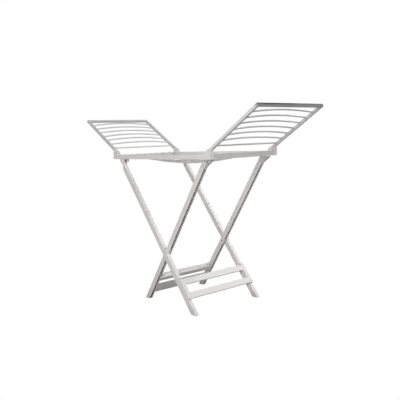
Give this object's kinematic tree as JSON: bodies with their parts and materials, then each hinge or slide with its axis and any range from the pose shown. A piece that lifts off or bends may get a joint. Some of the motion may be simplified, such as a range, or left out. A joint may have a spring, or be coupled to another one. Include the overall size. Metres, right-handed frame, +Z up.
{
  "type": "clothes drying rack",
  "caption": "Folding clothes drying rack: dished barred table on crossed legs joined by boards, with a hinged barred wing raised at each end.",
  "frame": {"origin": "on the floor under the middle of the table", "axes": "+Z up; +X along the table towards the right wing, whose end stands over the inner legs' heads; +Y towards the back"},
  "size_m": [1.7598, 0.55, 1.2307],
  "materials": {
    "frame": "warm white moulded plastic with a fine satin grain",
    "bars": "white plastic tube, smooth satin",
    "pins": "grey plastic pin, dull"
  },
  "bodies": {
    "outer_frame": {"outer_leg_front": "frame", "outer_leg_back": "frame", "cross_pins": "pins", "cross_spacers": "frame", "ladder_upper": "frame", "ladder_lower": "frame", "ladder_strip_front": "frame", "ladder_strip_back": "frame", "ladder_catches": "frame", "leg_pegs": "frame"},
    "inner_frame": {"inner_leg_front": "frame", "inner_leg_back": "frame", "inner_board_upper": "frame", "inner_board_lower": "frame"},
    "table": {"side_rail_front": "frame", "side_rail_back": "frame", "end_rail_left": "frame", "end_rail_right": "frame", "corner_front_left": "frame", "corner_front_right": "frame", "corner_back_left": "frame", "corner_back_right": "frame", "table_bar_1": "bars", "table_bar_2": "bars", "table_bar_3": "bars", "table_bar_4": "bars", "table_bar_5": "bars", "table_bar_6": "bars", "table_bar_7": "bars", "table_bar_8": "bars", "table_pivot_pins": "pins", "wing_hinge_pins": "pins"},
    "left_wing": {"left_wing_rail_front": "frame", "left_wing_rail_back": "frame", "left_wing_tip": "frame", "left_wing_bar_1": "bars", "left_wing_bar_2": "bars", "left_wing_bar_3": "bars", "left_wing_bar_4": "bars", "left_wing_bar_5": "bars", "left_wing_bar_6": "bars", "left_wing_bar_7": "bars"},
    "right_wing": {"right_wing_rail_front": "frame", "right_wing_rail_back": "frame", "right_wing_tip": "frame", "right_wing_clips": "frame", "right_wing_bar_1": "bars", "right_wing_bar_2": "bars", "right_wing_bar_3": "bars", "right_wing_bar_4": "bars", "right_wing_bar_5": "bars", "right_wing_bar_6": "bars", "right_wing_bar_7": "bars"}
  },
  "joints": [
    {"name": "leg_cross", "type": "hinge", "parent": "outer_frame", "child": "inner_frame", "pos_m": [0.03105, 0, 0.35258], "axis": [0, -1, 0], "range_deg": [0, 73.15]},
    {"name": "table_pivot", "type": "hinge", "parent": "outer_frame", "child": "table", "pos_m": [-0.362, 0, 0.93], "axis": [0, 1, 0], "range_deg": [0, 51.67]},
    {"name": "left_wing_hinge", "type": "hinge", "parent": "table", "child": "left_wing", "pos_m": [-0.473, 0, 0.9775], "axis": [0, 1, 0], "range_deg": [0, 148.8]},
    {"name": "right_wing_hinge", "type": "hinge", "parent": "table", "child": "right_wing", "pos_m": [0.473, 0, 0.9775], "axis": [0, -1, 0], "range_deg": [0, 148.8]}
  ],
  "couplings": [
    {"joint": "table_pivot", "follows": "leg_cross", "ratio": 0.7061}
  ]
}
